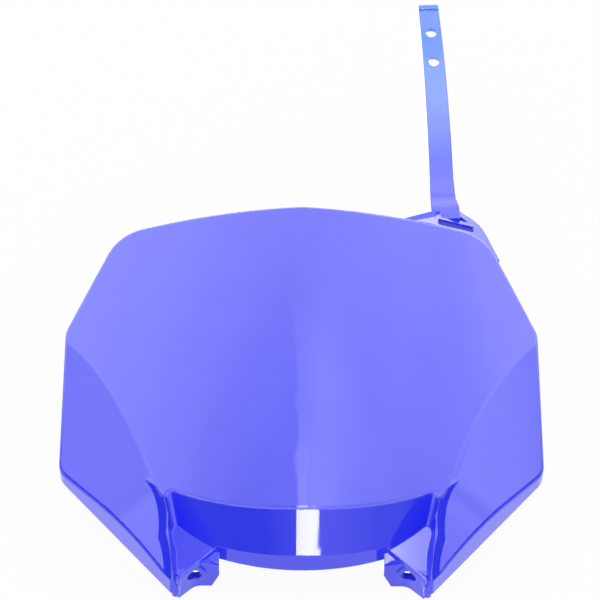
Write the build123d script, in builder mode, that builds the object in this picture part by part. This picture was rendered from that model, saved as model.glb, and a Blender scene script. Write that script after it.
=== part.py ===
"""Front number board of a motocross bike, moulded in one piece with its handlebar strap.

The board lies on its back: +Z comes out of the face, +Y runs up the board to the strap,
+X is to the right on the face. Sizes are in millimetres.
"""
import os
from math import acos, cos, degrees, radians, sin, tan

from build123d import *

os.makedirs("parts", exist_ok=True)

# moulding
wall = 2.5
draft = 2.0

# front form: two wide side arcs that meet on a keel, given at three heights of the board
side_arc_r = 320.0
form_half_width, form_low_z = 150.0, -20.0
low_y, low_keel_z, low_kink, low_keel_r = -30.0, 48.5, 4.0, 70.0
mid_y, mid_keel_z, mid_kink, mid_keel_r = 115.0, 51.0, 2.75, 110.0
top_y, top_keel_z, top_kink, top_keel_r = 260.0, 48.5, 1.5, 200.0

# outline at the back edge, right half from the lip to the top peak
lip_y, lip_r = 17.0, 114.0
notch_x = 42.0
shelf_front_x, shelf_front_y = 58.4, 11.1
tip_inner_x, tip_inner_y = 59.3, 4.8
tip_outer_x, tip_outer_y = 64.3, 6.0
tip_r = 2.1
lower_x, lower_y, lower_r = 124.5, 81.5, 16.0
upper_x, upper_y, upper_r = 126.5, 168.0, 14.0
shoulder_x, shoulder_y, shoulder_r = 101.0, 230.5, 22.0
peak_y = 235.2
edge_r = 2.5

# side facets below the creases, bent down to the tips
facet_x, facet_y, facet_z = 75.6, 62.0, 37.3
facet_normal = Vector(0.514, -0.105, 0.851).normalized()
facet_run = Vector(-0.285, -0.958, 0.0)
facet_bend_r = 118.0
facet_bend_angle = 46.0
facet_reach = 15.0
crease_r = 12.0

# chin recess between the two wings
chin_z, chin_y, chin_r = 50.0, 30.6, 112.0
chin_lean = 29.7
chin_kink, chin_sweep = 2.2, 62.0
chin_keel_r = 45.0
chin_corner_r = 3.0
recess_top_z = 60.0
flank_z, flank_x, flank_y, flank_slope = 8.0, 58.2, 26.4, 0.24
flank_draft = 14.0
corner_x, corner_draft = 61.6, 3.0
shelf_y, shelf_z, shelf_angle = 12.0, 19.0, 14.0
shelf_skirt = 3.6
bend_r = 2.0
chin_edge_x, chin_edge_y, chin_edge_z = 33.0, 34.5, 46.5

# raised ribs along the inner edges of the wings
rib_rise = 1.7
rib_fade_x, rib_fade_y = 79.4, 61.0
rib_turn_x, rib_turn_y = 66.2, 26.4
rib_tip_x = 63.4
rib_crest = 3.0
rib_root_x, rib_root_y = 69.0, 45.0
rib_inner_x = 63.0
rib_flank_angle, rib_flank_reach = 48.0, 9.0
rib_sink, rib_ramp = 0.2, 3.0

# lower brackets under the shelves, one bolt hole each
web_y, web_t = 19.0, 3.0
web_inner_x, web_turn_x, web_end_x, web_end_y = 40.5, 52.5, 60.4, 11.6
web_turn_r = 7.0
web_low_top_z, web_top_z = 17.0, 19.8
web_chamfer_x, web_chamfer_z = 4.0, 9.5
bolt_x, bolt_z, bolt_r = 52.6, 11.0, 3.5
boss_r, boss_t = 6.0, 0.8
deck_z, deck_rise, deck_t, deck_x, deck_y = 16.5, 3.5, 2.5, 48.0, 26.5
foot_x, foot_y, foot_r, foot_low_z = 61.6, 8.6, 2.1, 8.6

# ear behind the upper right corner, dipping back from the face
ear_y, ear_apex_z, ear_t = 235.0, 36.0, 3.0
ear_dip = 9.0
ear_length = 40.0
ear_hidden_x, ear_hidden_y = 40.0, 231.0
ear_root_left_x, ear_root_left_y = 72.6, 250.2
ear_root_right_x, ear_root_right_y = 87.2, 257.9
ear_right_x, ear_right_y = 99.8, 249.5
ear_end_x, ear_end_y = 108.6, 221.5
ear_inside_x, ear_inside_y = 90.0, 212.0
ear_corner_r = 22.0
fin_left_x, fin_left_y, fin_left_rise = 57.0, 238.7, 2.4
fin_right_x, fin_right_y, fin_right_rise = 74.6, 248.4, 3.5
fin_t, fin_lean = 2.0, 45.0
slot_x, slot_y, slot_length, slot_width = 85.5, 243.6, 19.8, 4.8
slot_turn, slot_corner_r = -4.0, 0.6
collar_t, collar_depth = 2.0, 7.0
pocket_depth = 1.0
pocket_left_x, pocket_mid_x, pocket_right_x = 77.4, 87.0, 92.8
pocket_low_y, pocket_left_y, pocket_high_y = 248.6, 252.6, 254.2

# strap
strap_x, strap_y, strap_z = 79.0, 252.2, 22.3
strap_turn = 3.2
strap_t = 2.4
strap_width, strap_tip_width = 13.4, 11.4
strap_flare, strap_flare_width = 18.0, 2.4
strap_curl_r, strap_angle = 20.0, 40.0
strap_arc_r, strap_tip_angle = 190.0, 4.9
strap_corner_r = 3.0
strap_hole_r = 3.0
strap_hole_one, strap_hole_two = 20.0, 39.5
bead_length, bead_rise = 3.0, 1.0

# back edges of the rim
arch_apex_z, arch_r, arch_start_y = 32.0, 212.0, 150.0
front_apex_z, front_r, front_end_y = 15.6, 1000.0, 40.0
wing_corner_z, wing_tip_z = 3.5, 12.5
wing_fade = 32.0

# reach of the cutting tools, past the edges of the board
far = form_half_width + 30.0


def section_plane(y):
    """Plane across the board at height y, local x along X and local y along Z."""
    return Plane(origin=(0, y, 0), x_dir=(1, 0, 0), z_dir=(0, -1, 0))


def facet_cut(side, lift):
    """Space above one side facet, lifted off it."""
    normal = Vector(side * facet_normal.X, facet_normal.Y, facet_normal.Z)
    run = Vector(side * facet_run.X, facet_run.Y, facet_run.Z)
    run = (run - normal * run.dot(normal)).normalized()
    inward = run.cross(normal) * side
    start = Vector(side * facet_x, facet_y, facet_z) + normal * lift - inward * far
    bend = facet_bend_r + lift
    with BuildPart() as cut:
        with BuildSketch(Plane(origin=start, x_dir=run * side, z_dir=inward)):
            with BuildLine():
                fall = CenterArc((0, -bend), bend, 90, -side * facet_bend_angle)
                Polyline(
                    fall @ 1,
                    (side * far, (fall @ 1).Y),
                    (side * far, far),
                    (-side * far, far),
                    (-side * far, 0),
                    fall @ 0,
                )
            make_face()
        extrude(amount=far + facet_reach)
    return cut.part


def dome(inset):
    """Solid under the keeled front, before the side facets are cut."""
    arc_r = side_arc_r - inset
    stations = (
        (low_y, low_keel_z, low_kink, low_keel_r),
        (mid_y, mid_keel_z, mid_kink, mid_keel_r),
        (top_y, top_keel_z, top_kink, top_keel_r),
    )
    with BuildPart() as solid:
        for y, keel_z, kink, keel_r in stations:
            centre_x = side_arc_r * sin(radians(kink))
            centre_z = keel_z - side_arc_r * cos(radians(kink))
            high = degrees(acos(centre_x / arc_r))
            low = degrees(acos((form_half_width + centre_x) / arc_r))
            with BuildSketch(section_plane(y)) as section:
                with BuildLine():
                    right = CenterArc((-centre_x, centre_z), arc_r, low, high - low)
                    left = CenterArc((centre_x, centre_z), arc_r, 180 - high, high - low)
                    Line(left @ 1, (-form_half_width, form_low_z))
                    Line((-form_half_width, form_low_z), (form_half_width, form_low_z))
                    Line((form_half_width, form_low_z), right @ 0)
                make_face()
                fillet(section.vertices().sort_by(Axis.Y)[-1], keel_r - inset)
        loft()
    return solid.part


def form(inset):
    """Solid under the front form with its side facets, taken in by inset."""
    with BuildPart() as solid:
        add(dome(inset))
        for side in (1, -1):
            add(facet_cut(side, -inset), mode=Mode.SUBTRACT)
        if inset == 0:
            flats = solid.faces().filter_by(GeomType.PLANE)
            flats = flats.filter_by(lambda f: f.normal_at().dot(Vector(0, 0, 1)) > 0.5)
            creases = [f.edges().sort_by(lambda e: abs((e @ 0.5).X))[0] for f in flats]
            fillet(creases, crease_r)
    return solid.part


def chin_space(inset):
    """Space in front of the leaning chin, widened by inset."""
    lean = tan(radians(chin_lean))
    taken = inset / cos(radians(chin_lean))
    back_y = chin_y - chin_z * lean
    turn = chin_r * sin(radians(chin_kink))
    rise = chin_r * cos(radians(chin_kink))
    start = -degrees(acos(turn / (chin_r - taken)))
    with BuildPart() as space:
        with BuildSketch() as chin:
            with BuildLine():
                bow = CenterArc((-turn, back_y + rise), chin_r - taken, start, chin_sweep)
                Polyline(bow @ 1, (far, (bow @ 1).Y), (far, -far), (0, -far))
                mirror(about=Plane.YZ)
            make_face()
            fillet(chin.vertices().sort_by_distance((0, back_y, 0))[0], chin_keel_r - taken)
        extrude(amount=recess_top_z / cos(radians(chin_lean)), dir=(0, lean, 1))
    return space.part


def recess(inset):
    """Space in front of the chin, between the wings and above the shelves, widened by inset."""
    height = recess_top_z - flank_z
    with BuildPart() as front:
        add(chin_space(inset))
        with BuildSketch(Plane.XY.offset(flank_z)):
            with Locations((0, flank_y)):
                Rectangle(2 * (flank_x + inset), far, align=(Align.CENTER, Align.MAX))
        extrude(amount=height, taper=-flank_draft, mode=Mode.INTERSECT)

    with BuildPart() as space:
        add(chin_space(inset))
        with BuildSketch(Plane.XY.offset(flank_z)):
            with BuildLine():
                Polyline(
                    (0, far),
                    (corner_x + flank_slope * (far - flank_y), far),
                    (corner_x - flank_slope * flank_y, 0),
                    (0, 0),
                )
                mirror(about=Plane.YZ)
            make_face()
            if inset:
                offset(amount=inset, kind=Kind.INTERSECTION, mode=Mode.REPLACE)
        extrude(amount=height, taper=-corner_draft, mode=Mode.INTERSECT)
        uprights = space.edges().filter_by(lambda e: abs((e @ 1).Z - (e @ 0).Z) > chin_z / 2)
        fillet(uprights.sort_by(Axis.Y)[-2:], chin_corner_r + inset)
        add(front.part)

        normal = Vector(0, -sin(radians(shelf_angle)), cos(radians(shelf_angle)))
        shelf = Plane(origin=Vector(0, shelf_y, shelf_z) - normal * inset, x_dir=(1, 0, 0), z_dir=normal)
        split(bisect_by=shelf, keep=Keep.TOP)
    return space.part


def outline(inset):
    """Outline at the back edge, taken in by inset."""
    notch_y = lip_y + lip_r - (lip_r**2 - notch_x**2) ** 0.5
    with BuildSketch() as plan:
        with BuildLine():
            RadiusArc((0, lip_y), (notch_x, notch_y), -lip_r)
            Polyline(
                (notch_x, notch_y),
                (shelf_front_x, shelf_front_y),
                (tip_inner_x, tip_inner_y),
                (tip_outer_x, tip_outer_y),
                (lower_x, lower_y),
                (upper_x, upper_y),
                (shoulder_x, shoulder_y),
                (0, peak_y),
            )
            mirror(about=Plane.YZ)
        make_face()
        for x, y, r in (
            (tip_inner_x, tip_inner_y, tip_r),
            (lower_x, lower_y, lower_r),
            (upper_x, upper_y, upper_r),
            (shoulder_x, shoulder_y, shoulder_r),
        ):
            for side in (1, -1):
                fillet(plan.vertices().sort_by_distance((side * x, y, 0))[0], r)
        if inset:
            offset(amount=-inset, kind=Kind.INTERSECTION, mode=Mode.REPLACE)
    return plan.sketch


def prism(inset, low_z):
    """Drafted prism on the outline, from low_z up past the face."""
    with BuildPart() as solid:
        with BuildSketch(Plane.XY.offset(low_z)):
            add(outline(inset))
        extrude(amount=70, taper=draft)
    return solid.part


def body(inset):
    """Front form with the chin recess taken out, inside the outline."""
    with BuildPart() as whole:
        add(form(inset))
        add(recess(inset), mode=Mode.SUBTRACT)
        add(prism(inset, -5.0), mode=Mode.INTERSECT)
    return whole.part


def ramp_cut():
    """Space above the ramp on which the right rib rises out of its facet."""
    run = (facet_run - facet_normal * facet_run.dot(facet_normal)).normalized()
    tilt = radians(rib_ramp)
    start = Vector(facet_x, facet_y, facet_z) - facet_normal * rib_sink
    rise = run * cos(tilt) + facet_normal * sin(tilt)
    above = facet_normal * cos(tilt) - run * sin(tilt)
    with BuildPart() as cut:
        with BuildSketch(Plane(origin=start, x_dir=rise, z_dir=above)):
            Rectangle(2 * far, 2 * far)
        extrude(amount=far)
    return cut.part


def facet_height(x, y, lift):
    """Height at x, y of the bent right facet, lifted off its face."""
    run = (facet_run - facet_normal * facet_run.dot(facet_normal)).normalized()
    axis = run.cross(facet_normal)
    foot = Vector(x, y, 0) - Vector(facet_x, facet_y, facet_z) + facet_normal * facet_bend_r
    foot = foot - axis * foot.dot(axis)
    rise = Vector(0, 0, 1) - axis * axis.Z
    half = foot.dot(rise) / rise.dot(rise)
    rest = (foot.dot(foot) - (facet_bend_r + lift) ** 2) / rise.dot(rise)
    return -half + (half**2 - rest) ** 0.5


def rib_span(plan, top, low):
    """Stretch of the right rib on a plan outline, its outer flank falling away from the crest line."""
    run = (low - top).normalized()
    outward = Vector(-run.Y, run.X, 0).normalized()
    slope = radians(rib_flank_angle)
    fall = outward * cos(slope) - Vector(0, 0, 1) * sin(slope)
    with BuildPart() as span:
        with BuildSketch():
            with BuildLine():
                Polyline(*plan, close=True)
            make_face()
        extrude(amount=recess_top_z)
        with BuildSketch(Plane(origin=top, x_dir=run, z_dir=run.cross(fall))):
            Rectangle(2 * far, 2 * far)
        extrude(amount=far, mode=Mode.SUBTRACT)
    return span.part


def rib():
    """Raised rib along the inner edge of the right wing, on a crest that follows the bent facet."""
    fade = Vector(rib_fade_x, rib_fade_y, facet_height(rib_fade_x, rib_fade_y, rib_sink))
    turn = Vector(rib_turn_x, rib_turn_y, facet_height(rib_turn_x, rib_turn_y, rib_rise))
    tip = Vector(rib_tip_x, tip_inner_y, facet_height(rib_tip_x, tip_inner_y, rib_rise))
    inside = flank_x - rib_crest
    high_plan = (
        (rib_fade_x - rib_crest, rib_fade_y),
        (rib_fade_x + rib_flank_reach, rib_fade_y),
        (rib_turn_x + rib_flank_reach, rib_turn_y),
        (inside, rib_turn_y),
        (rib_inner_x, rib_root_y),
        (rib_root_x, rib_root_y),
    )
    low_plan = (
        (inside, rib_turn_y),
        (rib_turn_x + rib_flank_reach, rib_turn_y),
        (rib_tip_x + rib_flank_reach, 0),
        (inside, 0),
    )
    with BuildPart() as band:
        add(rib_span(high_plan, fade, turn))
        add(rib_span(low_plan, turn, tip))
        add(facet_cut(1, rib_rise), mode=Mode.SUBTRACT)
        add(ramp_cut(), mode=Mode.SUBTRACT)
        add(prism(0, 0.0), mode=Mode.INTERSECT)
        add(recess(0), mode=Mode.SUBTRACT)
    return band.part


def ear_plane():
    """Plane across the ear at the board's top edge, tipped back by the ear's dip."""
    dip = radians(ear_dip)
    return Plane(origin=(0, ear_y, ear_apex_z), x_dir=(1, 0, 0), z_dir=(0, -cos(dip), sin(dip)))


def ear_point(x, y):
    """Point on the ear's top surface."""
    dip = radians(ear_dip)
    drop = (side_arc_r**2 - x**2) ** 0.5 - side_arc_r
    along = (y - ear_y - drop * sin(dip)) / cos(dip)
    return Vector(x, y, ear_apex_z + drop * cos(dip) - along * sin(dip))


def ear():
    """Ear behind the upper right corner with its slot, pocket and the fin beside the strap."""
    with BuildPart() as slab:
        with BuildSketch(ear_plane()):
            with Locations((0, -side_arc_r)):
                Circle(side_arc_r)
                Circle(side_arc_r - ear_t, mode=Mode.SUBTRACT)
        extrude(amount=ear_length, both=True)
        with BuildSketch() as plan:
            with BuildLine():
                Polyline(
                    (ear_hidden_x, ear_hidden_y),
                    (ear_root_left_x, ear_root_left_y),
                    (strap_x, strap_y + strap_curl_r / 4),
                    (ear_root_right_x, ear_root_right_y),
                    (ear_right_x, ear_right_y),
                    (ear_end_x, ear_end_y),
                    (ear_inside_x, ear_inside_y),
                    close=True,
                )
            make_face()
            fillet(plan.vertices().sort_by_distance((ear_right_x, ear_right_y, 0))[0], ear_corner_r)
        extrude(amount=recess_top_z, mode=Mode.INTERSECT)

        with BuildSketch():
            with Locations((slot_x, slot_y)):
                RectangleRounded(
                    slot_length + 2 * collar_t,
                    slot_width + 2 * collar_t,
                    slot_corner_r + collar_t,
                    rotation=slot_turn,
                )
        extrude(amount=recess_top_z)
        with BuildSketch(ear_plane()):
            with Locations((0, -side_arc_r)):
                Circle(side_arc_r + far)
                Circle(side_arc_r, mode=Mode.SUBTRACT)
                Circle(side_arc_r - collar_depth)
        extrude(amount=ear_length, both=True, mode=Mode.SUBTRACT)
        with BuildSketch():
            with Locations((slot_x, slot_y)):
                RectangleRounded(slot_length, slot_width, slot_corner_r, rotation=slot_turn)
        extrude(amount=recess_top_z, mode=Mode.SUBTRACT)

    with BuildPart() as pocket:
        with BuildSketch():
            with BuildLine():
                Polyline(
                    (pocket_left_x, pocket_low_y),
                    (pocket_left_x, pocket_left_y),
                    (pocket_mid_x, pocket_high_y),
                    (pocket_right_x, pocket_low_y),
                    close=True,
                )
            make_face()
        extrude(amount=recess_top_z)
        with BuildSketch(ear_plane()):
            with Locations((0, -side_arc_r)):
                Circle(side_arc_r - pocket_depth)
        extrude(amount=ear_length, both=True, mode=Mode.SUBTRACT)

    low = ear_point(fin_left_x, fin_left_y)
    high = ear_point(fin_right_x, fin_right_y)
    length = (high - low).length
    run = (high - low).normalized()
    out = Vector(-run.Y, run.X, 0).normalized()
    up = out * sin(radians(fin_lean)) + Vector(0, 0, 1) * cos(radians(fin_lean))
    with BuildPart() as fin:
        with BuildSketch(Plane(origin=low, x_dir=run, z_dir=run.cross(up).normalized())):
            with BuildLine():
                Polyline(
                    (0, fin_left_rise),
                    (length, fin_right_rise),
                    (length, -ear_t / 2),
                    (0, -ear_t / 2),
                    close=True,
                )
            make_face()
        extrude(amount=-fin_t)

    with BuildPart() as whole:
        add(slab.part)
        add(pocket.part, mode=Mode.SUBTRACT)
        add(fin.part)
    return whole.part


def strap():
    """Strap that curls up out of the ear and flattens to its tip, with two holes."""
    turn = radians(strap_turn)
    root = Vector(strap_x, strap_y, strap_z)
    along = Vector(-sin(turn), cos(turn), 0)
    up = Vector(0, 0, 1)
    half = strap_t / 2
    lean = radians(strap_angle)
    centre_u = (strap_curl_r + strap_arc_r) * sin(lean)
    centre_v = strap_curl_r - (strap_curl_r + strap_arc_r) * cos(lean)
    length = centre_u - strap_arc_r * sin(radians(strap_tip_angle))
    side_plane = Plane(origin=root, x_dir=along, z_dir=along.cross(up))
    with BuildPart() as band:
        with BuildSketch(side_plane):
            with BuildLine():
                curl_low = CenterArc((0, strap_curl_r), strap_curl_r + half, -90, strap_angle)
                curl_high = CenterArc((0, strap_curl_r), strap_curl_r - half, -90, strap_angle)
                arc_turn = strap_tip_angle - strap_angle
                main_low = CenterArc((centre_u, centre_v), strap_arc_r - half, 90 + strap_angle, arc_turn)
                main_high = CenterArc((centre_u, centre_v), strap_arc_r + half, 90 + strap_angle, arc_turn)
                Polyline(curl_low @ 0, (-4, -half), (-4, half), curl_high @ 0)
                Line(main_low @ 1, main_high @ 1)
            make_face()
        extrude(amount=strap_width, both=True)

        with BuildSketch(side_plane):
            with BuildLine():
                bead_turn = degrees(bead_length / strap_arc_r)
                bead_start = 90 + strap_tip_angle + bead_turn
                bead_low = CenterArc((centre_u, centre_v), strap_arc_r, bead_start, -bead_turn)
                bead_high = CenterArc(
                    (centre_u, centre_v), strap_arc_r + half + bead_rise, bead_start, -bead_turn
                )
                Line(bead_low @ 0, bead_high @ 0)
                Line(bead_low @ 1, bead_high @ 1)
            make_face()
        extrude(amount=strap_width, both=True)

        with BuildSketch(Plane(origin=(strap_x, strap_y, 0), x_dir=along, z_dir=up)) as plan:
            with BuildLine():
                Polyline(
                    (-4, strap_width / 2),
                    (length + 1, strap_tip_width / 2),
                    (length + 1, -strap_tip_width / 2),
                    (strap_flare, -strap_width / 2),
                    (strap_flare / 2, -strap_width / 2 - strap_flare_width / 3),
                    (strap_flare / 4, -strap_width / 2 - strap_flare_width),
                    (-4, -strap_width / 2 - strap_flare_width),
                    close=True,
                )
            make_face()
            fillet(plan.vertices().group_by(Axis.X)[-1], strap_corner_r)
        extrude(amount=120, mode=Mode.INTERSECT)

        for distance in (strap_hole_one, strap_hole_two):
            angle = radians(90 + strap_tip_angle) + distance / strap_arc_r
            radial = along * cos(angle) + up * sin(angle)
            spot = root + along * centre_u + up * centre_v + radial * strap_arc_r
            with BuildSketch(Plane(origin=spot, x_dir=along.cross(up), z_dir=radial)):
                Circle(strap_hole_r)
            extrude(amount=8, both=True, mode=Mode.SUBTRACT)
    return band.part


def bracket():
    """Right bracket: curved web with its bolt boss, deck, end wall and foot."""
    with BuildPart() as lug:
        with BuildSketch() as web:
            turn = Vector(web_end_x - web_turn_x, web_end_y - web_y, 0).normalized()
            back = Vector(-turn.Y, turn.X, 0) * web_t
            bisect = (back + Vector(0, web_t, 0)).normalized()
            corner = bisect * (web_t / bisect.Y)
            with BuildLine():
                Polyline(
                    (web_inner_x, web_y),
                    (web_turn_x, web_y),
                    (web_end_x, web_end_y),
                    (web_end_x + back.X, web_end_y + back.Y),
                    (web_turn_x + corner.X, web_y + corner.Y),
                    (web_inner_x, web_y + web_t),
                    close=True,
                )
            make_face()
            fillet(web.vertices().sort_by_distance((web_turn_x, web_y, 0))[0], web_turn_r)
            outside = (web_turn_x + corner.X, web_y + corner.Y, 0)
            fillet(web.vertices().sort_by_distance(outside)[0], web_turn_r + web_t)
        extrude(amount=web_top_z)

        with BuildSketch(section_plane(web_y + 2 * web_t)):
            with BuildLine():
                Polyline(
                    (web_inner_x, web_low_top_z),
                    (web_turn_x, web_top_z),
                    (web_turn_x, far),
                    (web_inner_x, far),
                    close=True,
                )
            make_face()
        extrude(amount=3 * web_t, mode=Mode.SUBTRACT)

        slope_plane = Plane(origin=(web_inner_x, 0, 0), x_dir=(0, 1, 0), z_dir=(1, 0, 0))
        with BuildSketch(slope_plane):
            with BuildLine():
                Polyline(
                    (web_y, 0),
                    (web_y, deck_z),
                    (deck_y, deck_z + deck_rise),
                    (deck_y, 0),
                    close=True,
                )
            make_face()
        extrude(amount=deck_t)
        with BuildSketch(slope_plane):
            with BuildLine():
                Polyline(
                    (web_y, deck_z - deck_t),
                    (web_y, deck_z),
                    (deck_y, deck_z + deck_rise),
                    (deck_y, deck_z + deck_rise - deck_t),
                    close=True,
                )
            make_face()
        extrude(amount=deck_x - web_inner_x)

        with BuildSketch(section_plane(deck_y + 1)):
            with BuildLine():
                Polyline(
                    (web_inner_x, 0),
                    (web_inner_x + web_chamfer_x, 0),
                    (web_inner_x, web_chamfer_z),
                    close=True,
                )
            make_face()
        extrude(amount=20, mode=Mode.SUBTRACT)

        with BuildSketch(section_plane(web_y - boss_t)):
            with Locations((bolt_x, bolt_z)):
                Circle(boss_r)
        extrude(amount=-boss_t - web_t)

        with BuildSketch(Plane.XY.offset(foot_low_z)):
            with Locations((foot_x, foot_y)):
                Circle(foot_r)
        extrude(amount=web_top_z - foot_low_z)
    return lug.part


def near(solid, points):
    """Edges of the solid nearest to the points, each also taken on the mirrored side."""
    picked = []
    for x, y, z in points:
        for side in (1, -1):
            edge = solid.edges().sort_by_distance((side * x, y, z))[0]
            if edge not in picked:
                picked.append(edge)
    return picked


wing_rib = rib()
chin_edge = (0, chin_y, chin_z), (chin_edge_x, chin_edge_y, chin_edge_z)
with BuildPart() as outer:
    add(form(0))
    add(prism(0, 0.0), mode=Mode.INTERSECT)
    sides = outer.faces().filter_by(lambda f: abs(f.normal_at().Z) < 0.15)
    tops = outer.faces().filter_by(lambda f: f.normal_at().Z > 0.55)
    rim = [e for e in tops.edges() if e in sides.edges()]
    rim = [e for e in rim if (e @ 0.5).Y > upper_y or abs((e @ 0.5).X) > tip_outer_x]
    fillet(rim, edge_r)
    add(recess(0), mode=Mode.SUBTRACT)
    fillet(near(outer.part, chin_edge), bend_r)
    add(wing_rib)
    add(mirror(wing_rib, about=Plane.YZ, mode=Mode.PRIVATE))
    add(ear())
    add(strap())

lug = bracket()
with BuildPart() as shell:
    add(outer.part)
    add(body(wall), mode=Mode.SUBTRACT)

    with BuildSketch(section_plane(arch_start_y)):
        with Locations((0, arch_apex_z - arch_r)):
            Circle(arch_r)
    extrude(amount=-far, mode=Mode.SUBTRACT)
    with BuildSketch(section_plane(front_end_y)):
        with Locations((0, front_apex_z - front_r)):
            Circle(front_r)
        Rectangle(2 * shelf_front_x, 2 * far, mode=Mode.INTERSECT)
    extrude(amount=far, mode=Mode.SUBTRACT)
    for side in (1, -1):
        corner = Vector(side * lower_x, lower_y, 0)
        tip = Vector(side * tip_outer_x, tip_outer_y, 0)
        run = (tip - corner).normalized()
        length = (tip - corner).length
        with BuildSketch(Plane(origin=corner, x_dir=run, z_dir=run.cross(Vector(0, 0, 1)))):
            with BuildLine():
                Polyline(
                    (0, 0),
                    (0, wing_corner_z),
                    (length, wing_tip_z),
                    (far, wing_tip_z),
                    (far, -wall),
                    (0, -wall),
                    close=True,
                )
            make_face()
        extrude(amount=lower_r, both=True, mode=Mode.SUBTRACT)
        with BuildSketch(Plane(origin=corner, x_dir=(0, 1, 0), z_dir=(1, 0, 0))):
            with BuildLine():
                Polyline(
                    (-lower_r, -wall),
                    (-lower_r, wing_corner_z),
                    (0, wing_corner_z),
                    (wing_fade, 0),
                    (wing_fade, -wall),
                    close=True,
                )
            make_face()
        extrude(amount=lower_r, both=True, mode=Mode.SUBTRACT)
    slope = tan(radians(shelf_angle))
    for start_x in (-shelf_front_x, notch_x):
        with BuildSketch(Plane(origin=(start_x, 0, 0), x_dir=(0, 1, 0), z_dir=(1, 0, 0))):
            with BuildLine():
                Polyline(
                    (0, -wall),
                    (0, shelf_z - shelf_skirt - slope * shelf_y),
                    (web_y, shelf_z - shelf_skirt + slope * (web_y - shelf_y)),
                    (web_y, -wall),
                    close=True,
                )
            make_face()
        extrude(amount=shelf_front_x - notch_x, mode=Mode.SUBTRACT)
    add(lug)
    add(mirror(lug, about=Plane.YZ, mode=Mode.PRIVATE))
    with BuildSketch(section_plane(web_y)):
        with Locations((bolt_x, bolt_z), (-bolt_x, bolt_z)):
            Circle(bolt_r)
    extrude(amount=4 * web_t, both=True, mode=Mode.SUBTRACT)

with BuildPart() as number_board:
    with Locations((0, boss_t - web_y, -bolt_z)):
        add(shell.part)
number_board.part.label = "number_board"
export_step(number_board.part, "parts/number_board.step")
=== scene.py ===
from math import cos, radians, sin

import bpy
from mathutils import Matrix, Vector


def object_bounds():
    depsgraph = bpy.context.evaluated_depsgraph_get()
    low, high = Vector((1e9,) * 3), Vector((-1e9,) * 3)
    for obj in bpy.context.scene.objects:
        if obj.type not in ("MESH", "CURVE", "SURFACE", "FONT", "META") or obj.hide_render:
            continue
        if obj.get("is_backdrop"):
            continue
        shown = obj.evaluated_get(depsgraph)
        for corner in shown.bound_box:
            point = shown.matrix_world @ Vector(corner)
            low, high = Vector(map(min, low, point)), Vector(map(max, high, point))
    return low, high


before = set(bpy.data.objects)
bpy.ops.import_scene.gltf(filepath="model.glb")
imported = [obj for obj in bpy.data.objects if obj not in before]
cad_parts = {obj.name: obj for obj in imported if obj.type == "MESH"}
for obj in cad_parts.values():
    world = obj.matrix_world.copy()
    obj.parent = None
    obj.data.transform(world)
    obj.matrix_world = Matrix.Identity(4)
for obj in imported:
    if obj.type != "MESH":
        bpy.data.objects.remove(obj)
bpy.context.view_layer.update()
scene = bpy.context.scene
white = (1.0, 1.0, 1.0, 1.0)

# plastic: linear colours and metres
body_tints = (0.027, 0.036, 0.81), (0.033, 0.044, 0.87)
# strap tints: the blue painted paler and greener, a painted glow of light let through the thin strap
strap_through_light_tints = (0.030, 0.180, 0.80), (0.034, 0.200, 0.85)
strap_root_y, through_light_full_y = 0.238, 0.318
flow_scale, flow_detail = 14.0, 3.0
polish_scale, polish_detail = 60.0, 4.0
mark_range = 0.3, 0.7
gloss, dull = 0.03, 0.06
plastic_ior = 1.49
edge_radius, edge_samples = 0.0006, 6

# white table under the object, metres
table_y, table_reach = 0.12, 6.0
paper_tint, paper_roughness = (0.93, 0.93, 0.93, 1.0), 0.9
seen_share = 0.95

# table in the gloss: brightness by the place on it, metres from its centre
near_by_distance = (0.2, 1.4), (0.4, 0.1)
front_by_x = (-0.15, 0.25), (0.15, 0.8)
rear_by_y = (0.0, 0.1), (0.2, 2.5)
front_edges = (("Y", -0.2, -0.35),)

# light tent in the gloss: brightness by the direction it is seen in
wall_by_z = (
    (0.12, 0.0), (0.27, 0.5), (0.34, 1.6), (0.38, 3.0), (0.41, 3.1), (0.49, 3.2), (0.55, 4.3), (0.60, 4.3),
    (0.69, 3.9), (0.75, 3.2), (0.80, 2.7), (0.90, 2.7), (1.0, 3.2),
)
lamp_by_y = (
    (-0.6, 2.9), (-0.4, 1.6), (-0.2, 2.6), (0.0, 3.4), (0.2, 2.8), (0.32, 1.5), (0.45, 1.2), (0.55, 1.7),
    (0.62, 0.9), (0.72, 0.0),
)
core_by_y = (-0.5, 0.0), (-0.2, 9.0), (0.0, 9.0), (0.3, 6.0), (0.45, 3.2), (0.55, 0.9), (0.64, 0.0)
opening_by_x = (-0.35, 0.2), (-0.07, 0.8), (0.15, 1.5), (0.75, 0.85)
strip_by_x = (-0.075, 18.0), (0.03, 22.0)
rear_wall_level, rear_lamp_level = 4.3, 4.6
fill_gain, shade_gain, side_gain, corner_gain = 0.28, -0.14, 0.25, -0.5

# edges of patches on the tent: axis, direction where a patch starts and where it is full
fill_edges = ("X", 0.0, 0.12), ("Z", 0.70, 0.80)
shade_edges = ("X", 0.3, 0.5), ("Z", 0.50, 0.60)
side_edges = ("X", 0.55, 0.7), ("Z", 0.48, 0.42)
corner_edges = ("X", 0.0, -0.025), ("Z", 0.93, 0.97)
rear_wall_edges = ("Y", 0.44, 0.54), ("Z", 0.62, 0.52)
opening_edges = ("Y", -0.2, -0.4), ("Z", 0.42, 0.30)
strip_edges = ("X", -0.075, -0.062), ("X", 0.198, 0.186), ("Y", -0.5, -0.6), ("Z", 0.30, 0.22)
lamp_edges = ("X", -0.05, -0.015), ("X", 0.30, 0.12), ("Z", 0.42, 0.60)
core_edges = ("X", -0.05, -0.015), ("X", 0.058, 0.040), ("Z", 0.42, 0.60)
rear_lamp_edges = ("X", 0.15, 0.25), ("Y", 0.76, 0.82), ("Z", 0.30, 0.40), ("Z", 0.56, 0.48)

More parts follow.
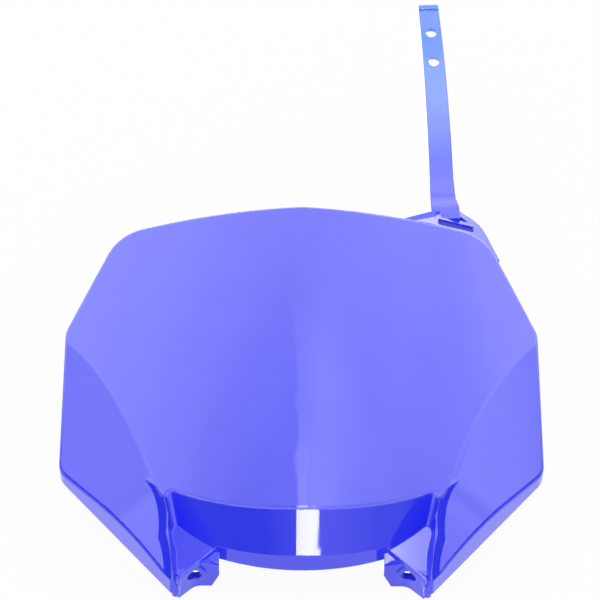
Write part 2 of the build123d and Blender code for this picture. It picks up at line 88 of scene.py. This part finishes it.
# camera
elevation, azimuth, roll = radians(48.611), radians(-0.4306), radians(0.6120)
distance, focal_px, picture_px = 1.200246, 2240.39, 600.0
sensor_mm = 36.0
target = Vector((-0.000971, 0.16634, 0.0157))


def node(tree, kind, **values):
    """New shader node with its attributes set."""
    made = tree.nodes.new(kind)
    for name, value in values.items():
        setattr(made, name, value)
    return made


def feed(tree, socket, value):
    """Links an output to a socket, or sets the socket to a plain value."""
    if isinstance(value, bpy.types.NodeSocket):
        tree.links.new(value, socket)
    else:
        socket.default_value = value


def join(tree, kind, *values):
    """All the values joined by one kind of arithmetic, from left to right."""
    total = values[0]
    for value in values[1:]:
        made = node(tree, "ShaderNodeMath", operation=kind)
        feed(tree, made.inputs[0], total)
        feed(tree, made.inputs[1], value)
        total = made.outputs[0]
    return total


def ease(tree, value, start, end, low=0.0, high=1.0):
    """Value eased from low at start to high at end."""
    made = node(tree, "ShaderNodeMapRange", interpolation_type="SMOOTHSTEP")
    feed(tree, made.inputs["Value"], value)
    feed(tree, made.inputs["From Min"], start)
    feed(tree, made.inputs["From Max"], end)
    feed(tree, made.inputs["To Min"], low)
    feed(tree, made.inputs["To Max"], high)
    return made.outputs["Result"]


def ramp(tree, value, stops):
    """Colour read off between (position, colour) stops."""
    made = node(tree, "ShaderNodeValToRGB")
    made.color_ramp.interpolation = "EASE"
    while len(made.color_ramp.elements) < len(stops):
        made.color_ramp.elements.new(0.5)
    for element, (position, colour) in zip(made.color_ramp.elements, stops):
        element.position = position
        element.color = (*colour, 1.0)
    feed(tree, made.inputs["Fac"], value)
    return made.outputs["Color"]


def levels(tree, value, stops):
    """Brightness read off between (place, level) stops, with places from -1 to 1."""
    top = max(level for place, level in stops)
    shares = [((place + 1) / 2, (level / top,) * 3) for place, level in stops]
    half = join(tree, "MULTIPLY", join(tree, "ADD", value, 1.0), 0.5)
    return join(tree, "MULTIPLY", ramp(tree, half, shares), top)


def patch(tree, place, edges, level=1.0):
    """The level inside all the edges, eased to 0 outside them."""
    eased = [ease(tree, place[axis], start, full) for axis, start, full in edges]
    return join(tree, "MULTIPLY", level, *eased)


def mirrored_only(tree, bright):
    """Strength 1, or the given brightness for what is seen in the gloss."""
    glossy = node(tree, "ShaderNodeLightPath").outputs["Is Glossy Ray"]
    extra = join(tree, "SUBTRACT", bright, 1.0)
    return join(tree, "ADD", join(tree, "MULTIPLY", glossy, extra), 1.0)


def noise(tree, place, scale, detail):
    """Cloudy pattern fixed to the object."""
    made = node(tree, "ShaderNodeTexNoise", noise_dimensions="3D")
    feed(tree, made.inputs["Vector"], place)
    feed(tree, made.inputs["Scale"], scale)
    feed(tree, made.inputs["Detail"], detail)
    return made.outputs["Fac"]


def axes(tree, vector):
    """The x, y and z of a vector."""
    made = node(tree, "ShaderNodeSeparateXYZ")
    feed(tree, made.inputs[0], vector)
    return made.outputs


def board_plastic():
    """Gloss blue plastic with faint flow and polish marks, and the strap painted paler and greener as
    painted light let through it.
    """
    material = bpy.data.materials.new("board_plastic")
    material.use_nodes = True
    tree = material.node_tree
    shader = tree.nodes["Principled BSDF"]
    place = node(tree, "ShaderNodeTexCoord").outputs["Object"]

    flow = noise(tree, place, flow_scale, flow_detail)
    # painted light through the strap: the colour eases from the body tints to the paler strap tints from
    # the strap's root outward
    tint = node(tree, "ShaderNodeMixRGB")
    feed(tree, tint.inputs["Fac"], ease(tree, axes(tree, place)["Y"], strap_root_y, through_light_full_y))
    feed(tree, tint.inputs["Color1"], ramp(tree, flow, list(zip(mark_range, body_tints))))
    feed(tree, tint.inputs["Color2"], ramp(tree, flow, list(zip(mark_range, strap_through_light_tints))))
    feed(tree, shader.inputs["Base Color"], tint.outputs["Color"])

    polish = noise(tree, place, polish_scale, polish_detail)
    feed(tree, shader.inputs["Roughness"], ease(tree, polish, *mark_range, gloss, dull))
    feed(tree, shader.inputs["IOR"], plastic_ior)
    soft = node(tree, "ShaderNodeBevel", samples=edge_samples)
    feed(tree, soft.inputs["Radius"], edge_radius)
    feed(tree, shader.inputs["Normal"], soft.outputs["Normal"])
    return material


def table_white():
    """White paper: plain to the camera with a share of the shadow, brighter or darker in the gloss."""
    material = bpy.data.materials.new("table_white")
    material.use_nodes = True
    tree = material.node_tree
    paper = tree.nodes["Principled BSDF"]
    feed(tree, paper.inputs["Base Color"], paper_tint)
    feed(tree, paper.inputs["Roughness"], paper_roughness)
    feed(tree, paper.inputs["Specular IOR Level"], 0.0)

    centred = node(tree, "ShaderNodeTexCoord").outputs["Object"]
    place = axes(tree, centred)
    away = node(tree, "ShaderNodeVectorMath", operation="LENGTH")
    feed(tree, away.inputs[0], centred)
    near = levels(tree, away.outputs["Value"], near_by_distance)
    front = patch(tree, place, front_edges, levels(tree, place["X"], front_by_x))
    rear = levels(tree, place["Y"], rear_by_y)

    glow = node(tree, "ShaderNodeEmission")
    feed(tree, glow.inputs["Color"], white)
    feed(tree, glow.inputs["Strength"], mirrored_only(tree, join(tree, "MAXIMUM", near, front, rear)))

    rays = node(tree, "ShaderNodeLightPath").outputs
    seen = join(tree, "MAXIMUM", rays["Is Camera Ray"], rays["Is Transmission Ray"])
    share = join(tree, "MAXIMUM", join(tree, "MULTIPLY", seen, seen_share), rays["Is Glossy Ray"])
    mix = node(tree, "ShaderNodeMixShader")
    feed(tree, mix.inputs[0], share)
    feed(tree, mix.inputs[1], paper.outputs["BSDF"])
    feed(tree, mix.inputs[2], glow.outputs["Emission"])
    feed(tree, tree.nodes["Material Output"].inputs["Surface"], mix.outputs["Shader"])
    return material


def light_tent():
    """White tent of plain light, with lamps and dark openings that only the gloss shows."""
    world = bpy.data.worlds.new("light_tent")
    world.use_nodes = True
    tree = world.node_tree
    way = axes(tree, node(tree, "ShaderNodeTexCoord").outputs["Generated"])

    # wall, a little brighter or darker in places, and bright low at the rear
    corner = patch(tree, way, corner_edges)
    gain = join(
        tree, "ADD", 1.0,
        patch(tree, way, fill_edges, fill_gain),
        patch(tree, way, shade_edges, shade_gain),
        patch(tree, way, side_edges, side_gain),
        join(tree, "MULTIPLY", corner, corner_gain),
    )
    lit = join(tree, "MULTIPLY", levels(tree, way["Z"], wall_by_z), gain)
    wall = join(tree, "MAXIMUM", lit, patch(tree, way, rear_wall_edges, rear_wall_level))

    # dim opening low at the front, and the upright lamp in it
    opening = patch(tree, way, opening_edges, levels(tree, way["X"], opening_by_x))
    strip = patch(tree, way, strip_edges, levels(tree, way["X"], strip_by_x))

    # long lamp overhead with its bright core, cut off by the dark corner, and the lamp at the rear
    lamp = patch(tree, way, lamp_edges, levels(tree, way["Y"], lamp_by_y))
    core = patch(tree, way, core_edges, levels(tree, way["Y"], core_by_y))
    clear = join(tree, "SUBTRACT", 1.0, corner)
    overhead = join(tree, "MULTIPLY", join(tree, "ADD", lamp, core), clear)
    rear_lamp = patch(tree, way, rear_lamp_edges, rear_lamp_level)

    bright = join(tree, "ADD", wall, opening, strip, overhead, rear_lamp)
    back = tree.nodes["Background"]
    feed(tree, back.inputs["Color"], white)
    feed(tree, back.inputs["Strength"], mirrored_only(tree, bright))
    return world


def table():
    """White table on which the object lies."""
    corners = [(x * table_reach, y * table_reach, 0.0) for x, y in ((-1, -1), (1, -1), (1, 1), (-1, 1))]
    mesh = bpy.data.meshes.new("table")
    mesh.from_pydata(corners, [], [(0, 1, 2, 3)])
    mesh.materials.append(table_white())
    made = bpy.data.objects.new("table", mesh)
    low_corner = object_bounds()[0]
    made.location = (0.0, table_y, low_corner[2])
    scene.collection.objects.link(made)
    return made


def viewpoint():
    """Camera that looks at the target from the front and above."""
    back = Vector((sin(azimuth) * cos(elevation), -cos(azimuth) * cos(elevation), sin(elevation)))
    level = Vector((cos(azimuth), sin(azimuth), 0.0))
    upright = back.cross(level)
    right = level * cos(roll) + upright * sin(roll)
    up = upright * cos(roll) - level * sin(roll)
    lens = bpy.data.cameras.new("camera")
    lens.sensor_width = sensor_mm
    lens.lens = sensor_mm * focal_px / picture_px
    made = bpy.data.objects.new("camera", lens)
    turn = Matrix((right, up, back)).transposed().to_4x4()
    made.matrix_world = Matrix.Translation(target + back * distance) @ turn
    scene.collection.objects.link(made)
    return made


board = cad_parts["number_board"]
plastic = board_plastic()
for slot in board.material_slots:
    slot.material = plastic
table()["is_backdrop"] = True
scene.world = light_tent()
scene.camera = viewpoint()
scene.view_settings.view_transform = "Standard"
